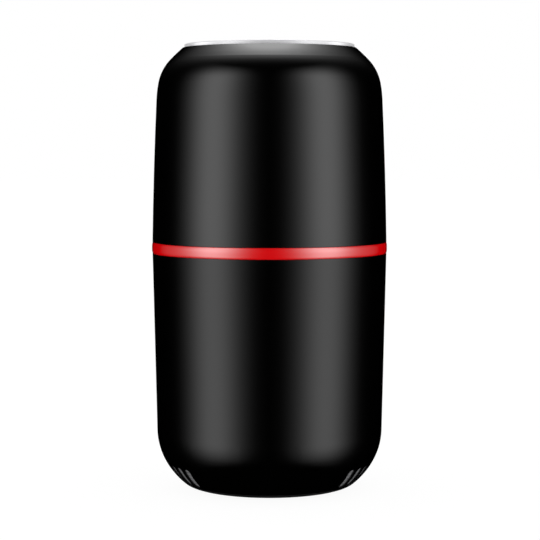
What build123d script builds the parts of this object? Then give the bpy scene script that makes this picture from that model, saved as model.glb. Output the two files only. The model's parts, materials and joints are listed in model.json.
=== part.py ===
"""Electric spice grinder: a lift-off lid with a push-button top on a motor base.

Millimetres. +Z is up and the origin is the centre of the feet's underside.
The back, with the cord inlet and the switch, faces +Y.
"""

import os
from math import asin, cos, degrees, radians, sin, tan

from build123d import *

# ---------------------------------------------------------------- driving dimensions
# Outer skin of the base, from the floor up: corner, bow, heel, drafted side.
FOOT_STAND = 0.8            # the feet hold the base this far off the floor
FLAT_R = 29.25              # radius of the flat underside
CORNER_R, CORNER_TURN = 7.2, 40.0
BOW_R, BOW_TURN = 29.5, 21.0
HEEL_R, HEEL_TURN = 25.5, 27.7
BASE_TOP_Z = 91.7           # top edge of the base shell, under the trim ring
BASE_WALL = 2.2

# Trim ring between the two halves.
RING_TOP_Z = BASE_TOP_Z + 4.3
RING_FOOT_R, RING_TOP_R = 45.68, 45.58

# Outer skin of the lid, from its lower edge up to the lip round the button.
LID_EDGE_R, LID_EDGE_Z = 45.5, RING_TOP_Z + 0.1
LID_HEADING = 91.0
LID_ARCS = ((1860.0, 1.7), (43.3, 8.2), (17.8, 33.5))
LID_SLOPE_R = 84.0
LIP_R = 33.6
LID_WALL = 2.0

# Push button in the top of the lid.
BUTTON_R, BUTTON_BORE_R = 32.85, 33.1
BUTTON_STAND = 1.45         # how far the cap stands above the lip
CAP_WALL, CAP_EDGE_R = 0.7, 0.5
GUIDE_R, GUIDE_Z = 34.8, 161.0
HOOKS = (30, 150, 270)      # angles of the button's hooks and the lid's screw posts

# Chamber: steel bowl in the base, clear cover in the lid.
DECK_Z, BOWL_FLOOR_Z = 68.0, 72.0
BOWL_R, BOWL_WALL, BOWL_CORNER_R = 34.0, 0.8, 8.0
CUP_R, SPIGOT_R, COLLAR_TOP_Z = 37.0, 42.9, 110.0
COVER_R, COVER_WALL, COVER_TOP_Z = 33.8, 1.8, 151.0

# Motor, a two-pole universal type on the grinder's axis.
STACK_Z, STACK_H = 34.0, 20.0
STACK_X, STACK_Y, STACK_CORNER = 56.0, 46.0, 8.0
ARMATURE_R, BORE_R, SHOE_R = 14.7, 15.2, 17.6
SHAFT_R, RUNNING_GAP = 2.5, 0.04
SCREW_X, SCREW_Y = 23.5, 18.3
UPPER_PLATE_Z, LOWER_PLATE_Z, PLATE_T = 61.0, 14.0, 2.5
COMMUTATOR_R, BRUSH_Z, BRUSH = 8.5, 23.7, 5.0
FAN_R = 23.5

# Safety switch behind the motor: push rod, plunger, lever, switch.
ROD_Y, ROD_R, PLUNGER_R = 39.0, 1.4, 1.6
PLUNGER_TOP_Z, PLUNGER_BALL_Z = 107.0, 52.5
SWITCH_Y, SWITCH_TOP_Z = 37.2, 47.0
PIVOT_X, PIVOT_Z = -8.5, 47.9
LEVER_ANGLE = 17.0

# Vents low on both sides, cord inlet at the back, screws and feet underneath.
VENT_COUNT, VENT_PITCH = 11, 7.8
VENT_LENGTH, VENT_W = 9.6, 3.3
VENT_WALL = 0.5             # the shell is this thin round the vents
VENT_LIFT = 0.9             # degrees that the vents sit above the middle of the bow
INLET_Z, CORD_HOLE_R = 24.0, 3.4
POST_X, POST_Y = 10.6, 26.1
FOOT_X, FOOT_R, FOOT_H = 15.0, 4.0, 1.9

POSTS = [(x, y) for x in (-POST_X, POST_X) for y in (-POST_Y, POST_Y)]
FEET = [(x, y) for x in (-FOOT_X, FOOT_X) for y in (-FOOT_X, FOOT_X)]
MOTOR_SCREWS = [(x, y) for x in (-SCREW_X, SCREW_X) for y in (-SCREW_Y, SCREW_Y)]
DAMPERS = [(-24.9, 0), (24.9, 0), (0, -17), (0, 17)]
UPRIGHT = (Align.CENTER, Align.CENTER, Align.MIN)
BAND_R = 60.0               # wider than the grinder, to cut bands of a given height

os.makedirs("parts", exist_ok=True)


# ---------------------------------------------------------------- helpers
def save(builder, name):
    """Label a finished piece and write its STEP file."""
    builder.part.label = name
    export_step(builder.part, f"parts/{name}.step")


def heading(angle):
    """Unit vector in the profile plane, turned that far from outwards towards up."""
    return (cos(radians(angle)), sin(radians(angle)))


def inward(point, angle, depth):
    """Point moved to the inside, square to a skin of that heading."""
    return (point[0] - depth * sin(radians(angle)), point[1] + depth * cos(radians(angle)))


def arc_end(point, angle, radius, turn):
    """Where an arc that turns to the inside ends."""
    end = angle + turn
    dx = radius * (sin(radians(end)) - sin(radians(angle)))
    dz = radius * (cos(radians(angle)) - cos(radians(end)))
    return (point[0] + dx, point[1] + dz)


def polar(radius, angle):
    """Point on a circle about the axis; 0 degrees is +X and 90 is the back."""
    return (radius * cos(radians(angle)), radius * sin(radians(angle)))


def turned(*corners, mode=Mode.ADD):
    """Revolve an outline of (radius, height) corners into or out of the active part."""
    with BuildSketch(Plane.XZ) as section:
        with BuildLine():
            Polyline(*corners, close=True)
        make_face()
    revolve(section.sketch, axis=Axis.Z, mode=mode)


def tube(inner_r, outer_r, low_z, high_z, mode=Mode.ADD):
    """Plain upright ring about the axis."""
    corners = ((inner_r, low_z), (outer_r, low_z), (outer_r, high_z), (inner_r, high_z))
    turned(*corners, mode=mode)


def columns(radius, low_z, high_z, places, mode=Mode.ADD):
    """Upright round columns at the given places."""
    with Locations(*[(x, y, low_z) for x, y in places]):
        Cylinder(radius, high_z - low_z, align=UPRIGHT, mode=mode)


def box(x_range, y_range, z_range, mode=Mode.ADD):
    """Block between two corners."""
    low = (x_range[0], y_range[0], z_range[0])
    size = [b - a for a, b in (x_range, y_range, z_range)]
    with Locations(low):
        Box(*size, align=(Align.MIN, Align.MIN, Align.MIN), mode=mode)


def bar_along_y(radius, y_range, x, z, mode=Mode.ADD):
    """Round bar along Y."""
    with Locations(Location((x, y_range[0], z), (-90, 0, 0))):
        Cylinder(radius, y_range[1] - y_range[0], align=UPRIGHT, mode=mode)


def bar_along_x(radius, x_range, y, z, mode=Mode.ADD):
    """Round bar along X."""
    with Locations(Location((x_range[0], y, z), (0, 90, 0))):
        Cylinder(radius, x_range[1] - x_range[0], align=UPRIGHT, mode=mode)


def coil(low_z, high_z, radius, wire_r, turns):
    """Compression spring upright on the axis, between two heights."""
    rise = high_z - low_z - 2 * wire_r
    with BuildPart() as spring:
        with BuildLine() as path:
            Helix(rise / turns, rise, radius, center=(0, 0, low_z + wire_r))
        with BuildSketch(Plane(path.line @ 0, z_dir=path.line % 0)):
            Circle(wire_r)
        sweep(is_frenet=True)
    return spring.part


# ---------------------------------------------------------------- outer skins
CORNER_END = arc_end((FLAT_R, FOOT_STAND), 0, CORNER_R, CORNER_TURN)
BOW_END = arc_end(CORNER_END, CORNER_TURN, BOW_R, BOW_TURN)
HEEL_HEADING = CORNER_TURN + BOW_TURN + HEEL_TURN
HEEL_END = arc_end(BOW_END, CORNER_TURN + BOW_TURN, HEEL_R, HEEL_TURN)


def side_r(z, depth=0.0):
    """Radius of the base's drafted side at a height, that deep inside the skin."""
    start = inward(HEEL_END, HEEL_HEADING, depth)
    return start[0] + (z - start[1]) / tan(radians(HEEL_HEADING))


def base_skin(depth, top_z):
    """Draw the base's bow, heel and side in the active line; return its two ends."""
    start = inward(CORNER_END, CORNER_TURN, depth)
    bow = JernArc(start, heading(CORNER_TURN), BOW_R - depth, BOW_TURN)
    heel = JernArc(bow @ 1, heading(CORNER_TURN + BOW_TURN), HEEL_R - depth, HEEL_TURN)
    side = Line(heel @ 1, (side_r(top_z, depth), top_z))
    return bow @ 0, side @ 1


def base_layer(outer_depth, inner_depth, low_z, high_z, arc=360):
    """Revolve a layer of the base's wall, between two depths and two heights."""
    with BuildSketch(Plane.XZ) as section:
        with BuildLine():
            outer = base_skin(outer_depth, BASE_TOP_Z)
            inner = base_skin(inner_depth, BASE_TOP_Z)
            Line(outer[0], inner[0])
            Line(outer[1], inner[1])
        make_face()
        with Locations((0, low_z)):
            Rectangle(BAND_R, high_z - low_z, align=Align.MIN, mode=Mode.INTERSECT)
    return revolve(section.sketch, axis=Axis.Z, revolution_arc=arc, mode=Mode.PRIVATE)


def lid_arcs():
    """Radius and turn of each arc of the lid's skin; the last one ends at the lip."""
    point, angle = (LID_EDGE_R, LID_EDGE_Z), LID_HEADING
    for radius, turn in LID_ARCS:
        point = arc_end(point, angle, radius, turn)
        angle += turn
    end = 180 - degrees(asin(sin(radians(angle)) + (LIP_R - point[0]) / LID_SLOPE_R))
    return (*LID_ARCS, (LID_SLOPE_R, end - angle)), arc_end(point, angle, LID_SLOPE_R, end - angle)


LID_SKIN, LIP = lid_arcs()
LIP_Z = LIP[1]
CAP_TOP_Z = LIP_Z + BUTTON_STAND
CARRIER_TOP_Z = CAP_TOP_Z - CAP_WALL


def lid_skin(depth):
    """Draw the lid's side and shoulder in the active line; return its two ends."""
    point, angle = inward((LID_EDGE_R, LID_EDGE_Z), LID_HEADING, depth), LID_HEADING
    first = point
    for radius, turn in LID_SKIN:
        point = JernArc(point, heading(angle), radius - depth, turn) @ 1
        angle += turn
    return first, point


# ---------------------------------------------------------------- base shell and vent screens
VENT_HEADING = CORNER_TURN + BOW_TURN / 2 + VENT_LIFT
VENT_MID = arc_end(CORNER_END, CORNER_TURN, BOW_R, VENT_HEADING - CORNER_TURN)
VENT_PLANE = Plane(
    origin=(VENT_MID[0], 0, VENT_MID[1]),
    x_dir=(heading(VENT_HEADING)[0], 0, heading(VENT_HEADING)[1]),
    z_dir=(heading(VENT_HEADING)[1], 0, -heading(VENT_HEADING)[0]),
)
VENT_ANGLES = [VENT_PITCH * (i - (VENT_COUNT - 1) / 2) for i in range(VENT_COUNT)]
SCREEN_ARC = VENT_PITCH * VENT_COUNT + 1.0
SIDES = {"right": 0, "left": 180}


def at_vents(cutter, side_angle):
    """Copies of a cutter made at angle 0, one at each vent of a side."""
    return [Rotation(0, 0, side_angle + angle) * cutter for angle in VENT_ANGLES]


with BuildPart() as vent_slot:
    with BuildSketch(VENT_PLANE):
        SlotOverall(VENT_LENGTH, VENT_W)
    extrude(amount=1.8, both=True)

with BuildPart() as screen_slits:
    with BuildSketch(VENT_PLANE):
        with GridLocations(1.5, 0, 5, 1):
            SlotOverall(3.2, 0.3, rotation=90)
    extrude(amount=3.0, both=True)

with BuildPart() as base_shell:
    add(base_layer(0.0, BASE_WALL, 0.0, BASE_TOP_Z))
    # Snap bead under the housing's skirt.
    turned((42.3, 83.5), (side_r(83.5, 1), 83.5), (side_r(80.5, 1), 80.5), (42.9, 80.5))
    # Posts for the bottom screws, tied to the wall by ribs.
    columns(3.0, 4.6, 24.0, POSTS)
    for x, y in POSTS:
        far = 15.0 if y > 0 else -15.0
        box((x - 0.8, x + 0.8), sorted((y, y + far)), (6.0, 22.0))
    bar_along_y(8.0, (36.5, 44.5), 0, INLET_Z)
    add(base_layer(0.0, 40.0, 0.0, BASE_TOP_Z), mode=Mode.INTERSECT)
    columns(1.45, 4.6, 16.0, POSTS, mode=Mode.SUBTRACT)
    bar_along_y(5.2, (30.0, 50.0), 0, INLET_Z, mode=Mode.SUBTRACT)
    bar_along_y(7.1, (43.3, 50.0), 0, INLET_Z, mode=Mode.SUBTRACT)
    for side_angle in SIDES.values():
        turn = Rotation(0, 0, side_angle - SCREEN_ARC / 2)
        add(turn * base_layer(VENT_WALL, 2.6, 3.2, 12.7, SCREEN_ARC), mode=Mode.SUBTRACT)
        add(at_vents(vent_slot.part, side_angle), mode=Mode.SUBTRACT)
save(base_shell, "base_shell")

for side, side_angle in SIDES.items():
    arc = SCREEN_ARC - 0.4
    with BuildPart() as vent_screen:
        layer = base_layer(VENT_WALL, VENT_WALL + 0.8, 3.3, 12.6, arc)
        add(Rotation(0, 0, side_angle - arc / 2) * layer)
        add(at_vents(screen_slits.part, side_angle), mode=Mode.SUBTRACT)
    save(vent_screen, f"vent_screen_{side}")

# ---------------------------------------------------------------- underside
COVER_FACE_Z = FOOT_STAND + BASE_WALL
with BuildPart() as bottom_cover:
    with BuildSketch(Plane.XZ):
        with BuildLine():
            Polyline((FLAT_R, COVER_FACE_Z), (0, COVER_FACE_Z), (0, FOOT_STAND), (FLAT_R, FOOT_STAND))
            outer = JernArc((FLAT_R, FOOT_STAND), (1, 0), CORNER_R, CORNER_TURN - 0.8)
            inner = JernArc((FLAT_R, COVER_FACE_Z), (1, 0), CORNER_R - BASE_WALL, CORNER_TURN - 0.8)
            Line(outer @ 1, inner @ 1)
        make_face()
    revolve(axis=Axis.Z)
    columns(3.6, COVER_FACE_Z, 4.6, POSTS)
    columns(2.9, 0.0, 2.9, POSTS, mode=Mode.SUBTRACT)
    columns(1.6, 0.0, 5.0, POSTS, mode=Mode.SUBTRACT)
    with BuildSketch(Plane.XY):
        with PolarLocations(12.0, 16, start_angle=11.25):
            SlotOverall(10.0, 2.0)
    extrude(amount=5.0, mode=Mode.SUBTRACT)
    columns(FOOT_R + 0.1, 0.0, FOOT_H, FEET, mode=Mode.SUBTRACT)
    columns(1.5, 0.0, 5.0, FEET, mode=Mode.SUBTRACT)
save(bottom_cover, "bottom_cover")

with BuildPart() as bottom_screws:
    columns(2.6, 1.2, 2.9, POSTS)
    columns(1.4, 2.9, 14.0, POSTS)
    with Locations(*[(x, y, 1.2) for x, y in POSTS]):
        Box(3.4, 0.7, 1.6, mode=Mode.SUBTRACT)
        Box(0.7, 3.4, 1.6, mode=Mode.SUBTRACT)
save(bottom_screws, "bottom_screws")

with BuildPart() as rubber_feet:
    columns(FOOT_R, 0.0, FOOT_H, FEET)
    columns(1.5, 0.0, 3.4, FEET)
    columns(1.9, COVER_FACE_Z, 4.2, FEET)
    soles = rubber_feet.faces().sort_by(Axis.Z)[:4]
    chamfer([sole.outer_wire().edges() for sole in soles], 0.4)
save(rubber_feet, "rubber_feet")

# ---------------------------------------------------------------- trim ring and bowl housing
with BuildPart() as trim_ring:
    turned(
        (44.45, BASE_TOP_Z), (RING_FOOT_R - 0.25, BASE_TOP_Z), (RING_FOOT_R, BASE_TOP_Z + 0.25),
        (RING_TOP_R, RING_TOP_Z - 0.25), (RING_TOP_R - 0.25, RING_TOP_Z), (43.0, RING_TOP_Z),
        (43.0, BASE_TOP_Z + 1.2), (44.45, BASE_TOP_Z + 1.2),
    )
save(trim_ring, "trim_ring")

with BuildPart() as bowl_housing:
    turned(
        (0, DECK_Z), (CUP_R, DECK_Z), (CUP_R, 108.0), (41.1, 108.0), (41.1, 84.0),
        (SPIGOT_R, 84.0), (SPIGOT_R, BASE_TOP_Z), (44.4, BASE_TOP_Z), (44.4, BASE_TOP_Z + 1.2),
        (SPIGOT_R, BASE_TOP_Z + 1.2), (SPIGOT_R, COLLAR_TOP_Z), (36.9, COLLAR_TOP_Z),
        (36.9, COLLAR_TOP_Z - BOWL_WALL), (35.2, COLLAR_TOP_Z - BOWL_WALL),
        (35.2, BOWL_FLOOR_Z), (0, BOWL_FLOOR_Z),
    )
    for angle in (0, 60, 120, 180, 240, 300):
        with Locations(Location((0, 0, 96), (0, 0, angle)) * Location((39, 0, 0))):
            Box(4.6, 1.6, 24.4)
    columns(3.0, 96.0, 109.0, [(0, ROD_Y)])
    columns(PLUNGER_R + 0.15, 90.0, 112.0, [(0, ROD_Y)], mode=Mode.SUBTRACT)
    columns(6.2, 60.0, 80.0, [(0, 0)], mode=Mode.SUBTRACT)
    columns(1.45, DECK_Z, 71.2, DAMPERS + [(-6, 28.5), (6, 28.5)], mode=Mode.SUBTRACT)
save(bowl_housing, "bowl_housing")

# ---------------------------------------------------------------- bowl, its clamp and seal
with BuildPart() as grinding_bowl:
    with BuildSketch(Plane.XZ):
        with BuildLine():
            outer = FilletPolyline(
                (6.2, BOWL_FLOOR_Z), (33.8, BOWL_FLOOR_Z), (BOWL_R + BOWL_WALL, COLLAR_TOP_Z),
                radius=BOWL_CORNER_R,
            )
            inner = FilletPolyline(
                (6.2, BOWL_FLOOR_Z + BOWL_WALL), (33.0, BOWL_FLOOR_Z + BOWL_WALL),
                (BOWL_R, COLLAR_TOP_Z), radius=BOWL_CORNER_R - BOWL_WALL,
            )
            Line(outer @ 0, inner @ 0)
            Line(outer @ 1, inner @ 1)
        make_face()
    revolve(axis=Axis.Z)
    tube(BOWL_R + 0.4, 36.8, COLLAR_TOP_Z - BOWL_WALL, COLLAR_TOP_Z)
save(grinding_bowl, "grinding_bowl")

with BuildPart() as bowl_clamp_bush:
    turned(
        (3.1, 64.2), (6.0, 64.2), (6.0, 72.8), (9.0, 72.8), (9.0, 73.6), (8.6, 74.0),
        (4.8, 74.0), (4.8, 71.2), (3.1, 71.2),
    )
save(bowl_clamp_bush, "bowl_clamp_bush")

with BuildPart() as shaft_seal:
    turned((2.56, 71.2), (4.8, 71.2), (4.8, 73.8), (4.2, 73.8), (3.4, 72.4), (2.56, 73.2))
save(shaft_seal, "shaft_seal")

with BuildPart() as bowl_clamp_nut:
    with BuildSketch(Plane.XY.offset(64.2)):
        RegularPolygon(9.5, 6, major_radius=False)
        Circle(6.0, mode=Mode.SUBTRACT)
    extrude(amount=DECK_Z - 64.2)
save(bowl_clamp_nut, "bowl_clamp_nut")

# ---------------------------------------------------------------- motor: frame and stator
UPPER_TOP_Z = UPPER_PLATE_Z + PLATE_T
LOWER_TOP_Z = LOWER_PLATE_Z + PLATE_T
STACK_TOP_Z = STACK_Z + STACK_H


def motor_plate(low_z):
    """Plate as wide as the stack, open between its arms, with holes for the motor's screws."""
    with BuildSketch(Plane.XY.offset(low_z)) as outline:
        RectangleRounded(STACK_X, STACK_Y, STACK_CORNER)
        with Locations(*[(x * 0.58, y * 0.62) for x, y in MOTOR_SCREWS]):
            RectangleRounded(9.0, 8.5, 2.5, mode=Mode.SUBTRACT)
    extrude(outline.sketch, amount=PLATE_T)


with BuildPart() as motor_dampers:
    columns(4.5, UPPER_TOP_Z, DECK_Z, DAMPERS)
    columns(1.6, UPPER_TOP_Z, DECK_Z, DAMPERS, mode=Mode.SUBTRACT)
save(motor_dampers, "motor_dampers")

with BuildPart() as motor_mount_screws:
    columns(2.7, UPPER_PLATE_Z - 1.8, UPPER_PLATE_Z, DAMPERS)
    columns(1.4, UPPER_PLATE_Z, 71.0, DAMPERS)
save(motor_mount_screws, "motor_mount_screws")

with BuildPart() as upper_bracket:
    motor_plate(UPPER_PLATE_Z)
    tube(0, 7.5, 57.5, UPPER_TOP_Z)
    columns(3.0, STACK_TOP_Z, UPPER_PLATE_Z, MOTOR_SCREWS)
    columns(1.6, 50, 70, MOTOR_SCREWS, mode=Mode.SUBTRACT)
    columns(1.5, 58, 70, DAMPERS, mode=Mode.SUBTRACT)
    tube(0, 5.0, 58.2, 70, mode=Mode.SUBTRACT)
    tube(0, 3.3, 50, 70, mode=Mode.SUBTRACT)
save(upper_bracket, "upper_bracket")

with BuildPart() as lower_bracket:
    motor_plate(LOWER_PLATE_Z)
    tube(0, 7.5, 12.5, 18.5)
    columns(3.0, LOWER_TOP_Z, STACK_Z, MOTOR_SCREWS)
    for x_range in ((12, 26), (-26, -12)):
        box(x_range, (-4.5, 4.5), (LOWER_TOP_Z, BRUSH_Z - 3.2))
    columns(1.6, 10, 40, MOTOR_SCREWS, mode=Mode.SUBTRACT)
    tube(0, 5.0, 10, 17.0, mode=Mode.SUBTRACT)
    tube(0, 3.3, 10, 20, mode=Mode.SUBTRACT)
save(lower_bracket, "lower_bracket")

for name, low_z in (("upper_bearing", 58.2), ("lower_bearing", 13.0)):
    with BuildPart() as bearing:
        tube(SHAFT_R + RUNNING_GAP, 5.0, low_z, low_z + 4.0)
        for face_z in (low_z, low_z + 3.7):
            tube(3.4, 4.4, face_z, face_z + 0.3, mode=Mode.SUBTRACT)
    save(bearing, name)

with BuildPart() as stator_core:
    with BuildSketch(Plane.XY.offset(STACK_Z)):
        RectangleRounded(STACK_X, STACK_Y, STACK_CORNER)
        Rectangle(44.6, 32.0, mode=Mode.SUBTRACT)
        Rectangle(44.6, 20.0)
        Circle(SHOE_R)
        with BuildLine():
            gap_far = [polar(19.5, a) for a in (62, 118)]
            Polyline((0, 0), *gap_far, close=True)
        make_face(mode=Mode.SUBTRACT)
        with BuildLine():
            gap_far = [polar(19.5, a) for a in (242, 298)]
            Polyline((0, 0), *gap_far, close=True)
        make_face(mode=Mode.SUBTRACT)
        Circle(BORE_R, mode=Mode.SUBTRACT)
        with Locations(*MOTOR_SCREWS):
            Circle(1.6, mode=Mode.SUBTRACT)
    extrude(amount=STACK_H)
save(stator_core, "stator_core")

for side, sign in (("right", 1), ("left", -1)):
    with BuildPart() as field_coil:
        with BuildSketch(Plane.YZ.offset(17.9 if sign > 0 else -22.0)):
            with Locations((0, STACK_Z + STACK_H / 2)):
                RectangleRounded(31.0, 30.6, 4.0)
                RectangleRounded(20.6, 20.6, 1.0, mode=Mode.SUBTRACT)
        extrude(amount=4.1)
    save(field_coil, f"field_coil_{side}")

with BuildPart() as motor_screws:
    columns(2.75, UPPER_TOP_Z, UPPER_TOP_Z + 2.2, MOTOR_SCREWS)
    columns(1.5, 11.0, UPPER_TOP_Z, MOTOR_SCREWS)
    with BuildSketch(Plane.XY.offset(LOWER_PLATE_Z - 2.4)):
        with Locations(*MOTOR_SCREWS):
            RegularPolygon(2.75, 6, major_radius=False)
    extrude(amount=2.4)
save(motor_screws, "motor_screws")

# ---------------------------------------------------------------- motor: brushes
brush_coil = coil(18.0, 25.2, 1.9, 0.3, 5)
for side, side_angle in SIDES.items():
    turn = Rotation(0, 0, side_angle)
    with BuildPart() as brush_holder:
        with Locations(turn * Location((10, 0, BRUSH_Z), (0, 90, 0))):
            Box(6.4, 6.4, 16.0, align=UPRIGHT)
            Box(5.2, 5.2, 15.2, align=UPRIGHT, mode=Mode.SUBTRACT)
    save(brush_holder, f"brush_holder_{side}")
    with BuildPart() as carbon_brush:
        with Locations(turn * Location((7, 0, BRUSH_Z), (0, 90, 0))):
            Box(BRUSH, BRUSH, 11.0, align=UPRIGHT)
        columns(COMMUTATOR_R + 0.08, 10, 40, [(0, 0)], mode=Mode.SUBTRACT)
    save(carbon_brush, f"carbon_brush_{side}")
    with BuildPart() as brush_spring:
        with Locations(turn * Location((0, 0, BRUSH_Z), (0, 90, 0))):
            add(brush_coil)
    save(brush_spring, f"brush_spring_{side}")

# ---------------------------------------------------------------- rotor
with BuildPart() as motor_shaft:
    turned((0, 5.0), (2.1, 5.0), (SHAFT_R, 5.4), (SHAFT_R, 79.2), (2.0, 79.2), (2.0, 85.0), (0, 85.0))
save(motor_shaft, "motor_shaft")

with BuildPart() as armature_core:
    with BuildSketch(Plane.XY.offset(STACK_Z)):
        Circle(ARMATURE_R)
        Circle(SHAFT_R, mode=Mode.SUBTRACT)
        with PolarLocations(10.6, 12):
            RectangleRounded(4.6, 2.8, 1.0, mode=Mode.SUBTRACT)
        with PolarLocations(13.6, 12):
            Rectangle(3.0, 1.2, mode=Mode.SUBTRACT)
    extrude(amount=STACK_H)
save(armature_core, "armature_core")

with BuildPart() as armature_winding:
    with BuildSketch(Plane.XY.offset(STACK_Z)):
        with PolarLocations(10.6, 12):
            RectangleRounded(4.4, 2.6, 0.9)
    extrude(amount=STACK_H)
    turned((4.2, 54), (12.9, 54), (12.9, 55.8), (11.9, 57.0), (5.4, 57.0), (4.2, 55.8))
    turned((4.2, 34), (4.2, 31.0), (5.4, 29.8), (11.9, 29.8), (12.9, 31.0), (12.9, 34))
save(armature_winding, "armature_winding")

with BuildPart() as commutator:
    tube(SHAFT_R, COMMUTATOR_R, 19.5, 27.8)
    tube(SHAFT_R, 6.0, 27.8, 29.8)
    with PolarLocations(COMMUTATOR_R, 12):
        with Locations((0, 0, 23.6)):
            Box(1.2, 0.5, 9.0, mode=Mode.SUBTRACT)
save(commutator, "commutator")

with BuildPart() as cooling_fan:
    tube(SHAFT_R, 4.6, 5.6, 11.6)
    tube(SHAFT_R, FAN_R, 10.6, 11.6)
    with PolarLocations(16.0, 14):
        with Locations((0, 0, 8.4)):
            Box(14.6, 1.0, 5.4)
save(cooling_fan, "cooling_fan")

with BuildPart() as blade_hub:
    turned((SHAFT_R, 74.6), (5.2, 74.6), (6.0, 75.4), (6.0, 79.2), (SHAFT_R, 79.2))
save(blade_hub, "blade_hub")

with BuildPart() as grinding_blade:
    with BuildSketch(Plane.XZ):
        with BuildLine():
            Polyline(
                (0, 79.2), (12, 79.2), (28, 84.2), (28, 85.7), (11.6, 80.7), (-11.6, 80.7),
                (-28, 85.7), (-28, 84.2), (-12, 79.2), close=True,
            )
        make_face()
    extrude(amount=9, both=True)
    with BuildSketch(Plane.XY.offset(70)):
        Circle(7.0)
        with BuildLine():
            Spline((0, 6.5), (14, 6.8), (27.6, 1.6), tangents=((1, 0), (0.85, -0.5)))
            Line((27.6, 1.6), (27.6, -1.2))
            Spline((27.6, -1.2), (14, -1.6), (0, -6.5), tangents=((-1, 0), (-0.8, -0.6)))
            Line((0, -6.5), (0, 6.5))
        make_face()
        with BuildLine():
            Spline((0, -6.5), (-14, -6.8), (-27.6, -1.6), tangents=((-1, 0), (-0.85, 0.5)))
            Line((-27.6, -1.6), (-27.6, 1.2))
            Spline((-27.6, 1.2), (-14, 1.6), (0, 6.5), tangents=((1, 0), (0.8, 0.6)))
            Line((0, 6.5), (0, -6.5))
        make_face()
        Circle(2.0, mode=Mode.SUBTRACT)
    extrude(amount=30, mode=Mode.INTERSECT)
save(grinding_blade, "grinding_blade")

with BuildPart() as blade_nut:
    with BuildSketch(Plane.XY.offset(80.7)):
        RegularPolygon(3.5, 6, major_radius=False)
    extrude(amount=3.2)
    turned((0, 83.9), (3.4, 83.9), (3.1, 85.0), (2.3, 86.0), (1.1, 86.6), (0, 86.6))
    columns(2.0, 80.0, 85.0, [(0, 0)], mode=Mode.SUBTRACT)
save(blade_nut, "blade_nut")

# ---------------------------------------------------------------- cord inlet
with BuildPart() as cord_grommet:
    with BuildSketch(Plane.XY.offset(INLET_Z)):
        with BuildLine():
            Polyline(
                (CORD_HOLE_R, 35.0), (6.6, 35.0), (6.6, 36.5), (5.15, 36.5), (5.15, 43.3), (7.0, 43.3),
                (7.0, 44.5), (6.3, 45.2), (CORD_HOLE_R, 45.2), close=True,
            )
        make_face()
    revolve(axis=Axis((0, 0, INLET_Z), (0, 1, 0)))
save(cord_grommet, "cord_grommet")

# ---------------------------------------------------------------- safety switch
with BuildPart() as switch_bracket:
    box((-9, 9), (31.5, 33.8), (36, DECK_Z))
    box((-9, 9), (26, 31.5), (66, DECK_Z))
    box((-4, 4), (33.8, 41.2), (53, 55))
    columns(PLUNGER_R + 0.15, 50, 58, [(0, ROD_Y)], mode=Mode.SUBTRACT)
    columns(1.45, 60, 70, [(-6, 28.5), (6, 28.5)], mode=Mode.SUBTRACT)
    for x in (-7, 7):
        bar_along_y(1.05, (30, 35), x, 41, mode=Mode.SUBTRACT)
save(switch_bracket, "switch_bracket")

with BuildPart() as bracket_screws:
    columns(2.6, 64.2, 66.0, [(-6, 28.5), (6, 28.5)])
    columns(1.4, 66.0, 71.0, [(-6, 28.5), (6, 28.5)])
save(bracket_screws, "bracket_screws")

with BuildPart() as microswitch:
    box((-10, 10), (33.8, 40.6), (38, SWITCH_TOP_Z))
    for y_range in ((34.3, 35.2), (39.2, 40.1)):
        box((PIVOT_X - 1.2, PIVOT_X + 1.2), y_range, (SWITCH_TOP_Z, PIVOT_Z + 1.2))
    bar_along_y(0.5, (34, 41), PIVOT_X, PIVOT_Z, mode=Mode.SUBTRACT)
    columns(1.15, 45.0, 48.0, [(-4.5, SWITCH_Y)], mode=Mode.SUBTRACT)
    for x in (-7, 7):
        bar_along_y(1.05, (33, 41), x, 41, mode=Mode.SUBTRACT)
save(microswitch, "microswitch")

with BuildPart() as switch_terminals:
    for x in (-7.5, 0, 7.5):
        box((x - 0.4, x + 0.4), (SWITCH_Y - 1.6, SWITCH_Y + 1.6), (32.5, 38))
        bar_along_x(0.6, (x - 1, x + 1), SWITCH_Y, 34.5, mode=Mode.SUBTRACT)
save(switch_terminals, "switch_terminals")

with BuildPart() as switch_screws:
    for x in (-7, 7):
        bar_along_y(2.0, (30.1, 31.5), x, 41)
        bar_along_y(1.0, (31.5, 40.2), x, 41)
save(switch_screws, "switch_screws")

with BuildPart() as lever_pin:
    bar_along_y(0.5, (34.3, 40.1), PIVOT_X, PIVOT_Z)
save(lever_pin, "lever_pin")

with BuildPart() as switch_button:
    columns(1.0, 45.9, 48.5, [(-4.5, SWITCH_Y)])
    fillet(switch_button.faces().sort_by(Axis.Z)[-1].edges(), 0.4)
save(switch_button, "switch_button")

with BuildPart() as switch_lever:
    with Locations(Location((PIVOT_X, SWITCH_Y, PIVOT_Z), (0, -LEVER_ANGLE, 0))):
        Box(14.0, 3.6, 0.4, align=(Align.MIN, Align.CENTER, Align.CENTER))
    bar_along_y(0.85, (SWITCH_Y - 1.8, SWITCH_Y + 1.8), PIVOT_X, PIVOT_Z)
    bar_along_y(0.55, (34, 41), PIVOT_X, PIVOT_Z, mode=Mode.SUBTRACT)
save(switch_lever, "switch_lever")

with BuildPart() as switch_plunger:
    columns(PLUNGER_R, PLUNGER_BALL_Z, PLUNGER_TOP_Z, [(0, ROD_Y)])
    columns(3.0, 66.0, 67.5, [(0, ROD_Y)])
    with Locations((0, ROD_Y, PLUNGER_BALL_Z)):
        Sphere(PLUNGER_R)
save(switch_plunger, "switch_plunger")

plunger_coil = coil(55.0, 66.0, 2.4, 0.3, 6)
with BuildPart() as plunger_spring:
    with Locations((0, ROD_Y, 0)):
        add(plunger_coil)
save(plunger_spring, "plunger_spring")

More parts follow.
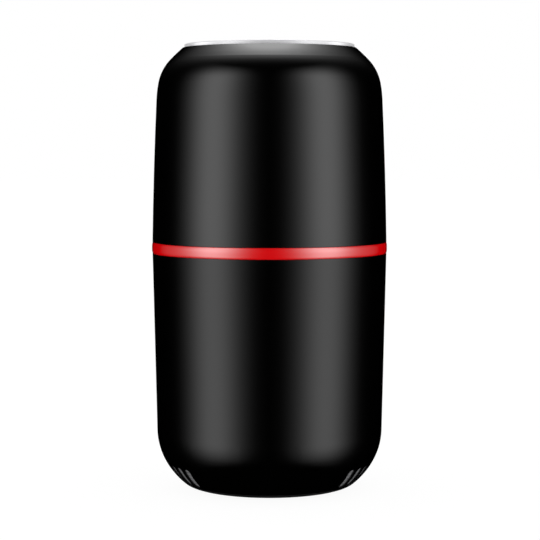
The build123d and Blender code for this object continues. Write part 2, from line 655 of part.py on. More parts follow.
# ---------------------------------------------------------------- lid
EARS = [polar(38.2, angle) for angle in HOOKS]


def ears(inner_r, low_z, high_z):
    """Lugs that reach out to the lid's screw posts, with a hole for the screw."""
    for angle in HOOKS:
        with Locations(Rotation(0, 0, angle) * Location((inner_r, 0, low_z))):
            Box(38.2 - inner_r, 5.4, high_z - low_z, align=(Align.MIN, Align.CENTER, Align.MIN))
    columns(2.7, low_z, high_z, EARS)
    columns(1.3, low_z - 1, high_z + 1, EARS, mode=Mode.SUBTRACT)


with BuildPart() as lid_shell:
    with BuildSketch(Plane.XZ):
        with BuildLine():
            outer = lid_skin(0.0)
            inner = lid_skin(LID_WALL)
            Line(outer[0], inner[0])
            Polyline(outer[1], (32.0, LIP_Z), inner[1])
        make_face()
    revolve(axis=Axis.Z)
    tube(32.5, GUIDE_R, GUIDE_Z, LIP_Z - 3.0)
    columns(2.9, 153.0, 165.5, EARS)
    with BuildSketch(Plane.XZ):
        with BuildLine():
            outer = lid_skin(0.0)
            Polyline(outer[1], (0, LIP_Z), (0, LID_EDGE_Z), outer[0])
        make_face()
    revolve(axis=Axis.Z, mode=Mode.INTERSECT)
    tube(0, BUTTON_BORE_R, 100.0, 200.0, mode=Mode.SUBTRACT)
    columns(1.2, 150.0, 163.0, EARS, mode=Mode.SUBTRACT)
save(lid_shell, "lid_shell")

with BuildPart() as lid_liner:
    turned(
        (COVER_R, COLLAR_TOP_Z + 0.9), (37.2, COLLAR_TOP_Z + 0.9), (37.2, COLLAR_TOP_Z + 2.7),
        (COVER_R + COVER_WALL, COLLAR_TOP_Z + 2.7), (COVER_R + COVER_WALL, COVER_TOP_Z),
        (0, COVER_TOP_Z), (0, COVER_TOP_Z - 2.0), (COVER_R, COVER_TOP_Z - 2.0),
    )
    ears(COVER_R, COVER_TOP_Z - 2.0, COVER_TOP_Z)
    box((-2.8, 2.8), (35.2, ROD_Y), (COLLAR_TOP_Z + 0.9, COLLAR_TOP_Z + 6.9))
    columns(2.8, COLLAR_TOP_Z + 0.9, COLLAR_TOP_Z + 6.9, [(0, ROD_Y)])
    columns(ROD_R + 0.2, 100.0, 130.0, [(0, ROD_Y)], mode=Mode.SUBTRACT)
save(lid_liner, "lid_liner")

with BuildPart() as lid_seal:
    tube(COVER_R + 0.6, 36.8, COLLAR_TOP_Z + 0.05, COLLAR_TOP_Z + 0.9)
save(lid_seal, "lid_seal")

SPRINGS = {"left": polar(18, 210), "right": polar(18, 330), "back": polar(18, 90)}
PEG_R = 2.0
with BuildPart() as button_base:
    tube(0, 30.0, COVER_TOP_Z, COVER_TOP_Z + 2.0)
    ears(28.0, COVER_TOP_Z, COVER_TOP_Z + 2.0)
    columns(PEG_R, COVER_TOP_Z + 2.0, COVER_TOP_Z + 6.0, SPRINGS.values())
save(button_base, "button_base")

with BuildPart() as lid_screws:
    columns(2.4, COVER_TOP_Z - 3.8, COVER_TOP_Z - 2.0, EARS)
    columns(1.15, COVER_TOP_Z - 2.0, 162.0, EARS)
save(lid_screws, "lid_screws")

# ---------------------------------------------------------------- push button
with BuildPart() as button_cap:
    tube(0, BUTTON_R, 163.0, CAP_TOP_Z)
    fillet(button_cap.edges().filter_by(GeomType.CIRCLE).sort_by(Axis.Z)[-1], CAP_EDGE_R)
    tube(0, BUTTON_R - CAP_WALL - 0.8, 160.0, CARRIER_TOP_Z, mode=Mode.SUBTRACT)
    tube(0, BUTTON_R - CAP_WALL, 160.0, CARRIER_TOP_Z - 0.8, mode=Mode.SUBTRACT)
save(button_cap, "button_cap")

SKIRT_R = BUTTON_R - CAP_WALL
DISC_Z = 169.2

with BuildPart() as hook:
    turned((31.0, 158.5), (34.0, 158.5), (34.0, 159.6), (33.2, 160.9), (31.0, 160.9))
    with Locations((33, 0, 160)):
        Box(8, 7, 8, mode=Mode.INTERSECT)

with BuildPart() as button_carrier:
    tube(0, SKIRT_R - 0.8, DISC_Z, CARRIER_TOP_Z)
    tube(SKIRT_R - 1.7, SKIRT_R, 158.0, CARRIER_TOP_Z - 0.8)
    # Hooks that stop the button under its guide.
    with Locations(*[Rotation(0, 0, angle) for angle in HOOKS]):
        add(hook.part)
    # Arm that reaches out to the push rod.
    box((-4, 4), (SKIRT_R - 1.7, SKIRT_R - 0.3), (154.6, 158.4))
    box((-1.7, 1.7), (SKIRT_R - 1.7, ROD_Y), (154.6, 156.6))
    columns(1.9, 154.6, 156.6, [(0, ROD_Y)])
    columns(ROD_R - 0.4, 150, 160, [(0, ROD_Y)], mode=Mode.SUBTRACT)
    # Pegs that hold the springs.
    columns(PEG_R, DISC_Z - 4.0, DISC_Z, SPRINGS.values())
save(button_carrier, "button_carrier")

button_coil = coil(COVER_TOP_Z + 2.0, DISC_Z, 2.7, 0.35, 7)
for side, place in SPRINGS.items():
    with BuildPart() as button_spring:
        with Locations(place):
            add(button_coil)
    save(button_spring, f"button_spring_{side}")

with BuildPart() as push_rod:
    columns(ROD_R, PLUNGER_TOP_Z + 0.1, 154.6, [(0, ROD_Y)])
    columns(ROD_R - 0.4, 154.6, 156.6, [(0, ROD_Y)])
save(push_rod, "push_rod")
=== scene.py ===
"""Looks of the electric spice grinder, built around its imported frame.

The grinder stands upright: a motor base with a red trim ring, a lift-off lid and a
silver push-button top. Every length is in metres unless its name ends in _mm.
"""

from __future__ import annotations

import json
import logging
import math
from collections.abc import Callable
from dataclasses import dataclass
from enum import Enum

import bmesh
import bpy
from bpy.types import Material, Node, NodeSocket, NodeTree, Object
from mathutils import Matrix, Vector

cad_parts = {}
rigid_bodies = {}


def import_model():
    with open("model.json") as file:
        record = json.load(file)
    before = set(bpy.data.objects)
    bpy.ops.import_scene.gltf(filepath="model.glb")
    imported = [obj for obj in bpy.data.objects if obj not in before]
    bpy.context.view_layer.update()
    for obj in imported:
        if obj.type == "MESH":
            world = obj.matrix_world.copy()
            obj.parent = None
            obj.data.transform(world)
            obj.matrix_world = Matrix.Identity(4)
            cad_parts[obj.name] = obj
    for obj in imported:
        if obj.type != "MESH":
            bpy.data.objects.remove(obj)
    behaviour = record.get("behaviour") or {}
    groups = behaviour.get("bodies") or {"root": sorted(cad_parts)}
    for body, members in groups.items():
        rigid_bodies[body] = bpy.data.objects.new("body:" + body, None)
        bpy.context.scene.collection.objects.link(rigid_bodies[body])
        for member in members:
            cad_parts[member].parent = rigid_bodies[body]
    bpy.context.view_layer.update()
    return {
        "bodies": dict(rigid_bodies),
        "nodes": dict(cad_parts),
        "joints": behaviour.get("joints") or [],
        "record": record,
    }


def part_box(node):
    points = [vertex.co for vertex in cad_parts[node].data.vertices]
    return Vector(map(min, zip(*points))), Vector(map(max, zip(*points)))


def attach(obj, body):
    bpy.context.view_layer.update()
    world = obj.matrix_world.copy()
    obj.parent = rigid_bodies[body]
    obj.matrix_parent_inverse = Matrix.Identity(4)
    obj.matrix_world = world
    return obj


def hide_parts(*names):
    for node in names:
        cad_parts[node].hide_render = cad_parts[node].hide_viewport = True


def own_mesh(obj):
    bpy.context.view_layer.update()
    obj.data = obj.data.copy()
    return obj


LOG = logging.getLogger("spice_grinder")
MM = 0.001
WAVE_PERIOD = 0.3               # about the distance between the waves of a wave texture
NOISE_LOW, NOISE_HIGH = 0.3, 0.7    # most values of a noise texture lie between them
MERGE_DISTANCE = 0.002 * MM     # vertices closer than this become one
CUT_TOLERANCE = 0.001 * MM      # how near a cutting plane a vertex counts as on it
PICK_REACH = 0.01 * MM          # how near a place a vertex is picked by it


class Body(str, Enum):
    """Bodies of the frame that modelled pieces ride on."""

    BASE = "base"
    ROTOR = "rotor"
    LID = "lid"
    BUTTON = "button"


class Slot(str, Enum):
    """Finishes that the grinder is made in, by the record's names."""

    BLACK_GLOSS = "black_gloss"
    BLACK_PLASTIC = "black_plastic"
    RED_TRIM = "red_trim"
    SILVER_CAP = "silver_cap"
    SCREEN_GREY = "screen_grey"
    STEEL = "steel"
    BLADE_STEEL = "blade_steel"
    SCREW_STEEL = "screw_steel"
    LAMINATION = "lamination"
    ZINC = "zinc"
    COPPER = "copper"
    COMMUTATOR = "commutator"
    CARBON = "carbon"
    CLEAR = "clear"
    WHITE_PLASTIC = "white_plastic"
    RUBBER = "rubber"
    SEAL = "seal"
    TERMINAL = "terminal"


class Sum(str, Enum):
    """Sums that the light tent's glow is made of, by Blender's names."""

    ABSOLUTE = "ABSOLUTE"
    ADD = "ADD"
    ARCCOSINE = "ARCCOSINE"
    ARCSINE = "ARCSINE"
    ARCTAN2 = "ARCTAN2"
    DEGREES = "DEGREES"
    DIVIDE = "DIVIDE"
    EXPONENT = "EXPONENT"
    MINIMUM = "MINIMUM"
    MULTIPLY = "MULTIPLY"
    MULTIPLY_ADD = "MULTIPLY_ADD"
    POWER = "POWER"
    SUBTRACT = "SUBTRACT"
    FADE = "SMOOTHSTEP"         # from 1 at the first angle of a pair to 0 at the second


def linear(hex_colour: str) -> tuple[float, float, float, float]:
    """Turn an sRGB hex colour into the linear colour that shaders take.

    Args:
        hex_colour: Colour as "#rrggbb".

    Returns:
        Linear red, green, blue and an alpha of 1.
    """
    channels = [int(hex_colour[i:i + 2], 16) / 255 for i in (1, 3, 5)]
    curve = [c / 12.92 if c <= 0.04045 else ((c + 0.055) / 1.055) ** 2.4 for c in channels]
    return (*curve, 1.0)


def add_node(tree: NodeTree, kind: str, settings: dict | None = None,
             inputs: dict | None = None) -> Node:
    """Add a shader node with its settings, socket values and links.

    Args:
        tree: Node tree that gets the node.
        kind: Blender's node type, such as "ShaderNodeBump".
        settings: Node attributes to set.
        inputs: Socket name or index to a value, or to an output socket to link from.

    Returns:
        The new node.
    """
    node = tree.nodes.new(kind)
    for name, value in (settings or {}).items():
        setattr(node, name, value)
    for name, value in (inputs or {}).items():
        if isinstance(value, NodeSocket):
            tree.links.new(value, node.inputs[name])
        else:
            node.inputs[name].default_value = value
    return node


def new_material(name: str) -> tuple[Material, NodeTree, NodeSocket]:
    """Start a node material on Object coordinates.

    Args:
        name: Material name.

    Returns:
        The material, its emptied tree, and the Object coordinate socket.
    """
    material = bpy.data.materials.new(name)
    material.use_nodes = True
    tree = material.node_tree
    tree.nodes.clear()
    return material, tree, add_node(tree, "ShaderNodeTexCoord").outputs["Object"]


# ------------------------------------------------------------------------- finishes
@dataclass(frozen=True)
class Finish:
    """Finish of a real material: its colour, and a pattern drawn at a size in millimetres."""

    name: str
    colour: str

    def surface(self, tree: NodeTree, place: NodeSocket) -> dict:
        """Add the pattern's nodes and return what feeds which Principled socket."""
        raise NotImplementedError

    def make(self) -> Material:
        """Build the material.

        Returns:
            The material: its pattern, a Principled shader and the output.
        """
        material, tree, place = new_material(self.name)
        sockets = {"Base Color": linear(self.colour), **self.surface(tree, place)}
        shader = add_node(tree, "ShaderNodeBsdfPrincipled", inputs=sockets)
        add_node(tree, "ShaderNodeOutputMaterial", inputs={"Surface": shader.outputs["BSDF"]})
        return material


@dataclass(frozen=True)
class GlossMoulding(Finish):
    """Injection-moulded ABS from a polished mould: deep colour, soft mirror reflections."""

    roughness: float
    ior: float
    ripple_mm: float = 9.0      # width of the faint flow ripples of moulded gloss plastic
    ripple: float = 0.004

    def surface(self, tree: NodeTree, place: NodeSocket) -> dict:
        """Add the flow ripples.

        Args:
            tree: The material's tree.
            place: Object coordinates.

        Returns:
            Principled sockets of the polished surface.
        """
        flow = add_node(tree, "ShaderNodeTexNoise",
                        inputs={"Vector": place, "Scale": 1 / (self.ripple_mm * MM),
                                "Detail": 1.0})
        bump = add_node(tree, "ShaderNodeBump",
                        inputs={"Height": flow.outputs["Fac"], "Strength": self.ripple,
                                "Distance": MM})
        return {"Roughness": self.roughness, "IOR": self.ior, "Normal": bump.outputs["Normal"]}


@dataclass(frozen=True)
class TexturedMoulding(Finish):
    """Plastic or rubber from a spark-eroded mould: matt, with a fine even grain."""

    roughness: float = 0.55
    grain_mm: float = 0.35      # the real grain is about 0.1 mm; drawn coarser so that it shows
    grain_depth_mm: float = 0.1
    relief: float = 0.12
    uneven: float = 0.05        # how far the roughness strays from its middle, both ways

    def surface(self, tree: NodeTree, place: NodeSocket) -> dict:
        """Add the grain.

        Args:
            tree: The material's tree.
            place: Object coordinates.

        Returns:
            Principled sockets of the grained surface.
        """
        grain = add_node(tree, "ShaderNodeTexNoise",
                         inputs={"Vector": place, "Scale": 1 / (self.grain_mm * MM),
                                 "Detail": 2.0})
        bump = add_node(tree, "ShaderNodeBump",
                        inputs={"Height": grain.outputs["Fac"], "Strength": self.relief,
                                "Distance": self.grain_depth_mm * MM})
        shade = add_node(tree, "ShaderNodeMapRange",
                         inputs={"Value": grain.outputs["Fac"], "From Min": NOISE_LOW,
                                 "From Max": NOISE_HIGH, "To Min": self.roughness - self.uneven,
                                 "To Max": self.roughness + self.uneven})
        return {"Roughness": shade.outputs["Result"], "Normal": bump.outputs["Normal"]}


@dataclass(frozen=True)
class TurnedMetal(Finish):
    """Metal turned or ground round the axis: fine rings that draw reflections out sideways."""

    roughness: float = 0.25
    line_mm: float = 0.25       # the real tool marks are about 0.05 mm; drawn coarser to show
    line_depth_mm: float = 0.05
    relief: float = 0.06
    polish: float = 0.03        # how much smoother than its roughness it is between the lines
    wear: float = 0.05          # how much rougher it is on them

    def surface(self, tree: NodeTree, place: NodeSocket) -> dict:
        """Add the rings that the tool left.

        Args:
            tree: The material's tree.
            place: Object coordinates.

        Returns:
            Principled sockets of the turned surface.
        """
        rings = add_node(tree, "ShaderNodeTexWave",
                         {"wave_type": "RINGS", "rings_direction": "Z"},
                         {"Vector": place, "Scale": WAVE_PERIOD / (self.line_mm * MM),
                          "Distortion": 1.5, "Detail": 2.0, "Detail Scale": 2.0})
        bump = add_node(tree, "ShaderNodeBump",
                        inputs={"Height": rings.outputs["Fac"], "Strength": self.relief,
                                "Distance": self.line_depth_mm * MM})
        worn = add_node(tree, "ShaderNodeMapRange",
                        inputs={"Value": rings.outputs["Fac"],
                                "To Min": self.roughness - self.polish,
                                "To Max": self.roughness + self.wear})
        return {"Metallic": 1.0, "Roughness": worn.outputs["Result"],
                "Normal": bump.outputs["Normal"]}


@dataclass(frozen=True)
class SatinMetallic(Finish):
    """Silver metallic lacquer over a moulding: bright flakes in a matt coat with a white sheen."""

    dark_colour: str
    metallic: float = 0.27
    roughness: float = 0.36
    uneven: float = 0.03        # how far the roughness of a flake strays, both ways
    sheen: float = 1.0
    sheen_roughness: float = 0.45
    flake_mm: float = 0.2       # real flakes are about 0.03 mm; drawn coarser so that they show

    def surface(self, tree: NodeTree, place: NodeSocket) -> dict:
        """Add the flakes.

        Args:
            tree: The material's tree.
            place: Object coordinates.

        Returns:
            Principled sockets of the lacquer.
        """
        flakes = add_node(tree, "ShaderNodeTexVoronoi",
                          inputs={"Vector": place, "Scale": 1 / (self.flake_mm * MM)})
        share = add_node(tree, "ShaderNodeSeparateColor",
                         inputs={"Color": flakes.outputs["Color"]})
        tint = add_node(tree, "ShaderNodeMix", {"data_type": "RGBA"},
                        {"Factor": share.outputs["Red"], "A": linear(self.dark_colour),
                         "B": linear(self.colour)})
        spread = add_node(tree, "ShaderNodeMapRange",
                          inputs={"Value": share.outputs["Green"],
                                  "To Min": self.roughness - self.uneven,
                                  "To Max": self.roughness + self.uneven})
        return {"Base Color": tint.outputs["Result"], "Metallic": self.metallic,
                "Roughness": spread.outputs["Result"], "Sheen Weight": self.sheen,
                "Sheen Roughness": self.sheen_roughness}


@dataclass(frozen=True)
class CastMetal(Finish):
    """Plated or cast metal: a dull skin with cloudy variation."""

    dark_colour: str
    roughness: float = 0.4
    cloud_mm: float = 3.0

    def surface(self, tree: NodeTree, place: NodeSocket) -> dict:
        """Add the clouds.

        Args:
            tree: The material's tree.
            place: Object coordinates.

        Returns:
            Principled sockets of the dull metal.
        """
        cloud = add_node(tree, "ShaderNodeTexNoise",
                         inputs={"Vector": place, "Scale": 1 / (self.cloud_mm * MM),
                                 "Detail": 4.0})
        tint = add_node(tree, "ShaderNodeMix", {"data_type": "RGBA"},
                        {"Factor": cloud.outputs["Fac"], "A": linear(self.dark_colour),
                         "B": linear(self.colour)})
        return {"Base Color": tint.outputs["Result"], "Metallic": 1.0,
                "Roughness": self.roughness}


@dataclass(frozen=True)
class WoundWire(Finish):
    """Enamelled copper wire, wound turn beside turn."""

    roughness: float = 0.35
    wire_mm: float = 0.6
    groove_mm: float = 0.2      # how deep the groove between two turns is
    relief: float = 0.6

    def surface(self, tree: NodeTree, place: NodeSocket) -> dict:
        """Add the turns.

        Args:
            tree: The material's tree.
            place: Object coordinates.

        Returns:
            Principled sockets of the winding.
        """
        turns = add_node(tree, "ShaderNodeTexWave",
                         {"wave_type": "BANDS", "bands_direction": "Z"},
                         {"Vector": place, "Scale": WAVE_PERIOD / (self.wire_mm * MM),
                          "Distortion": 0.6, "Detail": 1.0})
        bump = add_node(tree, "ShaderNodeBump",
                        inputs={"Height": turns.outputs["Fac"], "Strength": self.relief,
                                "Distance": self.groove_mm * MM})
        return {"Metallic": 1.0, "Roughness": self.roughness, "Normal": bump.outputs["Normal"]}


@dataclass(frozen=True)
class ClearMoulding(Finish):
    """Clear styrene of the lid's chamber, faintly frosted by use."""

    ior: float = 1.57
    frost_mm: float = 6.0       # width of the frosted patches
    clear: float = 0.03         # roughness where it is still polished
    frosted: float = 0.14       # roughness where it is worn

    def surface(self, tree: NodeTree, place: NodeSocket) -> dict:
        """Add the frosted patches.

        Args:
            tree: The material's tree.
            place: Object coordinates.

        Returns:
            Principled sockets of the see-through plastic.
        """
        frost = add_node(tree, "ShaderNodeTexNoise",
                         inputs={"Vector": place, "Scale": 1 / (self.frost_mm * MM),
                                 "Detail": 5.0})
        rough = add_node(tree, "ShaderNodeMapRange",
                         inputs={"Value": frost.outputs["Fac"], "To Min": self.clear,
                                 "To Max": self.frosted})
        return {"Roughness": rough.outputs["Result"], "Transmission Weight": 1.0,
                "IOR": self.ior}


class Finishes:
    """All finishes of the grinder, made once and looked up by the record's slot names."""

    RECIPES = {
        # Polished ABS: near black, so the eye sees only its soft mirror reflections.
        Slot.BLACK_GLOSS: GlossMoulding("polished_black_abs", "#010101", 0.11, 1.5),
        # Red lacquer over a bright metallised ring: reflections stronger than bare plastic's.
        Slot.RED_TRIM: GlossMoulding("red_lacquered_trim", "#dc0107", 0.08, 2.42),
        # Glass-filled nylon of the inner mouldings: charcoal, with a fine dull grain.
        Slot.BLACK_PLASTIC: TexturedMoulding("black_glass_filled_nylon", "#141415"),
        # Polypropylene screens behind the vents: dull mid grey.
        Slot.SCREEN_GREY: TexturedMoulding("grey_polypropylene_screen", "#6a6a6c", 0.6, 0.3),
        # Rubber of feet, dampers and grommet: matt, almost black.
        Slot.RUBBER: TexturedMoulding("black_moulded_rubber", "#0c0c0c", 0.75),
        # Silicone seals: soft grey sheen.
        Slot.SEAL: TexturedMoulding("grey_silicone", "#8c8c8c", 0.5),
        # Acetal of the push rod and plunger: milky white, slightly waxy.
        Slot.WHITE_PLASTIC: TexturedMoulding("natural_acetal", "#dcdad2", 0.4),
        # Pressed carbon brushes: dark, with a faint graphite shine.
        Slot.CARBON: TexturedMoulding("pressed_carbon", "#1a1a1b", 0.6),
        # Silver metallic lacquer of the push button: pale, satin, brighter where a light meets it.
        Slot.SILVER_CAP: SatinMetallic("silver_metallic_lacquer", "#e0e0e2", "#d7d7da"),
        # Spun stainless steel of the bowl: fine rings that draw highlights out sideways.
        Slot.STEEL: TurnedMetal("spun_stainless_steel", "#c8c8c6"),
        # Ground stainless steel of the blade: brighter and sharper than the bowl.
        Slot.BLADE_STEEL: TurnedMetal("ground_blade_steel", "#d2d2d2", 0.22),
        # Copper bars of the commutator, turned bright.
        Slot.COMMUTATOR: TurnedMetal("turned_copper", "#b87040", 0.3),
        # Zinc-plated screws: pale, slightly cloudy.
        Slot.SCREW_STEEL: CastMetal("zinc_plated_steel", "#b4b6ba", "#8f9196"),
        # Die-cast zinc of the motor's brackets: dull grey skin.
        Slot.ZINC: CastMetal("die_cast_zinc", "#9c9da0", "#7c7d80", 0.5),
        # Varnished laminations: brown-black steel.
        Slot.LAMINATION: CastMetal("varnished_electrical_steel", "#4c4a48", "#2e2d2c", 0.45),
        # Tinned brass terminals: pale straw.
        Slot.TERMINAL: CastMetal("tinned_brass", "#c0a860", "#a08848", 0.35),
        # Enamelled copper wire: deep orange, ribbed by its turns.
        Slot.COPPER: WoundWire("enamelled_copper_wire", "#a8501c"),
        # Clear styrene of the chamber's cover: see-through, faintly frosted by use.
        Slot.CLEAR: ClearMoulding("clear_styrene", "#e8ebee"),
    }

    def __init__(self) -> None:
        """Build every material."""
        self.materials = {slot: recipe.make() for slot, recipe in self.RECIPES.items()}

    def paint(self, piece: Object, slot: Slot) -> None:
        """Give a piece the finish of a slot."""
        piece.data.materials.clear()
        piece.data.materials.append(self.materials[slot])


# ------------------------------------------------------------------------- modelling
def deselect_all() -> None:
    """Deselect every object, so that the next operator acts only on what it is given."""
    bpy.ops.object.select_all(action="DESELECT")


def start_editing(name: str) -> Object:
    """Name the primitive that was just added and edit its mesh, all selected.

    Args:
        name: Name of the piece that it becomes.

    Returns:
        The piece.
    """
    piece = bpy.context.object
    piece.name = name
    piece.data.name = name
    bpy.ops.object.mode_set(mode="EDIT")
    return piece


def finish_editing(piece: Object, smooth_degrees: float = 35.0) -> None:
    """Close the edited mesh, point its faces outwards and put its place in its mesh.

    Args:
        piece: Piece that is being edited.
        smooth_degrees: Edges sharper than this stay sharp.
    """
    bpy.ops.mesh.select_all(action="SELECT")
    bpy.ops.mesh.remove_doubles(threshold=MERGE_DISTANCE)
    bpy.ops.mesh.normals_make_consistent(inside=False)
    bpy.ops.object.mode_set(mode="OBJECT")
    bpy.ops.object.transform_apply(location=True, rotation=True, scale=True)
    bpy.ops.object.shade_smooth_by_angle(angle=math.radians(smooth_degrees))
    deselect_all()
    LOG.info("modelled %s", piece.name)


def select_vertices(piece: Object, wanted: Callable[[Vector], bool]) -> None:
    """Select the vertices, and what lies between them, whose place passes a test.

    Args:
        piece: Piece that is being edited.
        wanted: Test of a vertex's place.
    """
    bpy.ops.mesh.select_mode(type="VERT")
    bpy.ops.mesh.select_all(action="DESELECT")
    mesh = bmesh.from_edit_mesh(piece.data)
    for vertex in mesh.verts:
        vertex.select = wanted(piece.matrix_world @ vertex.co)
    mesh.select_flush_mode()
    bmesh.update_edit_mesh(piece.data)


def copy_piece(piece: Object, name: str, shift: Vector) -> Object:
    """Copy a finished piece with a mesh of its own.

    Args:
        piece: Piece to copy.
        name: Name of the copy.
        shift: How far the copy stands from the piece.

    Returns:
        The copy.
    """
    copy = piece.copy()
    copy.data = piece.data.copy()
    copy.name = name
    copy.data.name = name
    bpy.context.scene.collection.objects.link(copy)
    copy.data.transform(Matrix.Translation(shift))
    LOG.info("copied %s to %s", piece.name, name)
    return copy


def turn_rings(name: str, rings: list[tuple[float, float]], segments: int) -> Object:
    """Model a turned piece by drawing one circle out from ring to ring.

    Args:
        name: Name of the piece.
        rings: Radius and height of each ring; a last radius of 0 closes it on the axis.
        segments: Sides of each ring.

    Returns:
        The piece, still being edited.
    """
    radius, height = rings[0]
    deselect_all()
    bpy.ops.mesh.primitive_circle_add(vertices=segments, radius=radius, location=(0, 0, height))
    piece = start_editing(name)
    for next_radius, next_height in rings[1:]:
        bpy.ops.mesh.extrude_region_move(
            TRANSFORM_OT_translate={"value": (0, 0, next_height - height)})
        if next_radius == 0:
            bpy.ops.mesh.merge(type="CENTER")
            break
        share = next_radius / radius
        bpy.ops.transform.resize(value=(share, share, 1), center_override=(0, 0, next_height))
        radius, height = next_radius, next_height
    return piece


@dataclass(frozen=True)
class CompressionSpring:
    """Spring wound from round wire, with closed and ground ends."""

    wire_r: float
    coil_r: float
    turns: int
    closed_turns: float = 1.0
    steps: int = 20             # steps of a turn
    sides: int = 10             # sides of the wire

    def model(self, name: str, x: float, y: float, low: float, high: float) -> Object:
        """Wind the spring upright between two heights.

        Args:
            name: Name of the piece.
            x: Place of the spring's axis.
            y: Place of the spring's axis.
            low: Height of its ground foot.
            high: Height of its ground top.

        Returns:
            The finished piece.
        """
        deselect_all()
        bpy.ops.mesh.primitive_circle_add(
            vertices=self.sides, radius=self.wire_r, fill_type="NGON",
            location=(x + self.coil_r, y, low), rotation=(math.radians(90), 0, 0))
        piece = start_editing(name)
        closed_rise = 2 * self.wire_r / self.steps
        closed_steps = round(self.closed_turns * self.steps)
        open_steps = self.turns * self.steps - 2 * closed_steps
        open_rise = (high - low - 2 * closed_steps * closed_rise) / open_steps
        for step in range(self.turns * self.steps):
            closed = min(step, self.turns * self.steps - 1 - step) < closed_steps
            rise = closed_rise if closed else open_rise
            bpy.ops.mesh.extrude_region_move(TRANSFORM_OT_translate={"value": (0, 0, rise)})
            bpy.ops.transform.rotate(value=-math.tau / self.steps, orient_axis="Z",
                                     center_override=(x, y, 0))
        for height, side in ((low, -1), (high, 1)):
            bpy.ops.mesh.select_all(action="SELECT")
            bpy.ops.mesh.bisect(plane_co=(x, y, height), plane_no=(0, 0, side), use_fill=True,
                                clear_outer=True, threshold=CUT_TOLERANCE)
        finish_editing(piece)
        return piece


# ------------------------------------------------------------------------- studio
@dataclass(frozen=True)
class StripLights:
    """Two upright strip lights behind the tent's cloth, one on each side of the camera."""

    azimuth: float = 55.8       # degrees from the camera, both ways
    spread: float = 24.35       # degrees to where a strip has faded to a third
    top_fade: tuple[float, float] = (24.8, 56.9)        # degrees of elevation, full to none
    foot_fade: tuple[float, float] = (-12.2, -49.6)
    sharpness: float = 2.13
    strength: float = 2.41
    lower_share: float = 0.76   # share of the strength below eye level
    lower_blend: tuple[float, float] = (-5.0, 0.0)


@dataclass(frozen=True)
class TopLight:
    """A round soft light above the tent, leaning to the back."""

    lean: float = 18.2          # degrees behind the zenith
    near_fade: float = 9.0      # degrees in which its glow falls to a third near the centre
    far_fade: float = 36.5      # the same far out
    core: float = 30.0
    limit: float = 6.0          # the cloth evens the core out to this strength
    shade_azimuth: tuple[float, float] = (168.0, 140.0)     # a flag shades its back edge
    shade_height: tuple[float, float] = (56.0, 70.0)
    shade: float = 0.88


@dataclass(frozen=True)
class BackPanel:
    """A weak panel behind the grinder that top faces mirror when they are seen from above."""

    azimuth_fade: tuple[float, float] = (178.0, 164.0)
    low_fade: tuple[float, float] = (34.0, 22.0)
    high_fade: tuple[float, float] = (45.0, 60.0)
    strength: float = 0.9


@dataclass(frozen=True)
class FlaggedLamps:
    """Two soft lamps, one on each side, flagged off all but one piece of the grinder."""

    azimuth: float              # degrees from the camera, both ways
    height: float
    width: float
    tall: float
    power: float                # watts
    grid: float = 180.0         # degrees that a honeycomb grid lets through
    distance: float = 1.0

    def make(self, tent: Object, piece: Object) -> None:
        """Hang the lamps on the tent, aimed at the axis.

        Args:
            tent: Tent that they turn with.
            piece: The only piece that they light.
        """
        flagged = bpy.data.collections.new(f"lamps_on_{piece.name}")
        flagged.objects.link(piece)
        turn = math.radians(self.azimuth)
        for side, sign in (("left", -1), ("right", 1)):
            lamp = bpy.data.lights.new(f"{piece.name}_lamp_{side}", "AREA")
            lamp.shape = "ELLIPSE"
            lamp.spread = math.radians(self.grid)
            lamp.size = self.width
            lamp.size_y = self.tall
            lamp.energy = self.power
            stand = bpy.data.objects.new(lamp.name, lamp)
            bpy.context.scene.collection.objects.link(stand)
            stand.parent = tent
            stand.location = (sign * self.distance * math.sin(turn),
                              -self.distance * math.cos(turn), self.height - tent.location.z)
            stand.rotation_euler = (math.radians(90), 0, math.atan2(
                stand.location.x, -stand.location.y))
            stand.visible_diffuse = False
            stand.visible_camera = False
            stand.light_linking.receiver_collection = flagged


